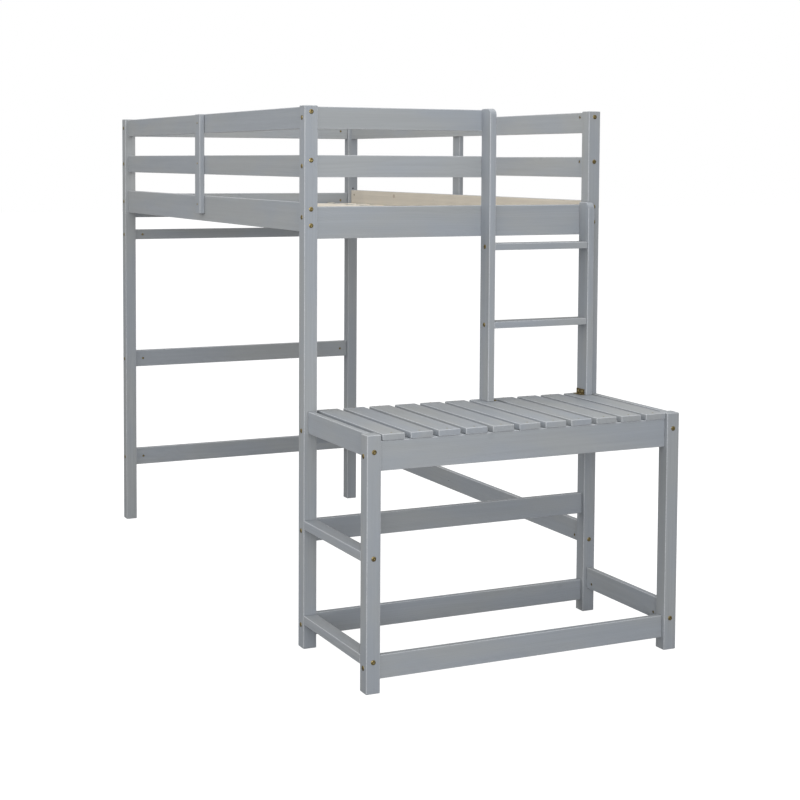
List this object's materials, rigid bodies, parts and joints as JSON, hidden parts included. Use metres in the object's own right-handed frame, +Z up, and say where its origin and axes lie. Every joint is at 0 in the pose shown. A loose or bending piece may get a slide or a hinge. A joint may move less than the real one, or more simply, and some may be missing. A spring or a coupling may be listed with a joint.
{
  "type": "loft bed with desk",
  "caption": "Wooden loft bed with guard rails on all sides, a slatted desk at its foot end and a ladder that rises from the desk to a gap in the guard rail.",
  "frame": {"origin": "middle of the footprint's bounding box, on the floor", "axes": "+Z up; +Y runs along the bed, from the desk end to the far end; +X is to the right for a person who faces the desk, the side that the ladder is on"},
  "size_m": [1.0736, 2.466, 1.68],
  "materials": {
    "painted_wood": "satin grey paint over pine, with a faint grain and slightly worn, eased edges",
    "natural_pine": "bare planed pine",
    "brass_hardware": "yellow-zinc or brass plated furniture bolts, barrel nuts, screws and brackets",
    "webbing": "woven polyester strap that joins the bed slats"
  },
  "bodies": {
    "root": {"bed_slat_roll": "natural_pine", "desk_front_apron": "painted_wood", "desk_front_low_rail": "painted_wood", "desk_left_low_stretcher": "painted_wood", "desk_left_mid_stretcher": "painted_wood", "desk_leg_left": "painted_wood", "desk_leg_right": "painted_wood", "desk_rear_apron": "painted_wood", "desk_rear_low_rail": "painted_wood", "desk_rear_mid_rail": "painted_wood", "desk_right_low_rail": "painted_wood", "desk_side_board_left": "painted_wood", "desk_side_board_right": "painted_wood", "desk_slat_01": "painted_wood", "desk_slat_02": "painted_wood", "desk_slat_03": "painted_wood", "desk_slat_04": "painted_wood", "desk_slat_05": "painted_wood", "desk_slat_06": "painted_wood", "desk_slat_07": "painted_wood", "desk_slat_08": "painted_wood", "desk_slat_09": "painted_wood", "desk_slat_10": "painted_wood", "desk_slat_11": "painted_wood", "front_end_rail": "painted_wood", "front_guard_rail_mid": "painted_wood", "front_guard_rail_top": "painted_wood", "ladder_bracket_left": "brass_hardware", "ladder_bracket_right": "brass_hardware", "ladder_rung_lower": "painted_wood", "ladder_rung_upper": "painted_wood", "ladder_stile_left": "painted_wood", "ladder_stile_right": "painted_wood", "left_guard_rail_mid": "painted_wood", "left_guard_rail_top": "painted_wood", "left_guard_upright": "painted_wood", "left_side_rail": "painted_wood", "post_front_left": "painted_wood", "post_front_right": "painted_wood", "post_rear_left": "painted_wood", "post_rear_right": "painted_wood", "rear_end_rail": "painted_wood", "rear_guard_rail_mid": "painted_wood", "rear_guard_rail_top": "painted_wood", "rear_low_crossbar": "painted_wood", "rear_mid_crossbar": "painted_wood", "rear_upper_crossbar": "painted_wood", "right_guard_rail_mid": "painted_wood", "right_guard_rail_top": "painted_wood", "right_guard_upright": "painted_wood", "right_lower_stretcher": "painted_wood", "right_side_rail": "painted_wood", "slat_ledger_left": "natural_pine", "slat_ledger_right": "natural_pine"}
  },
  "joints": []
}
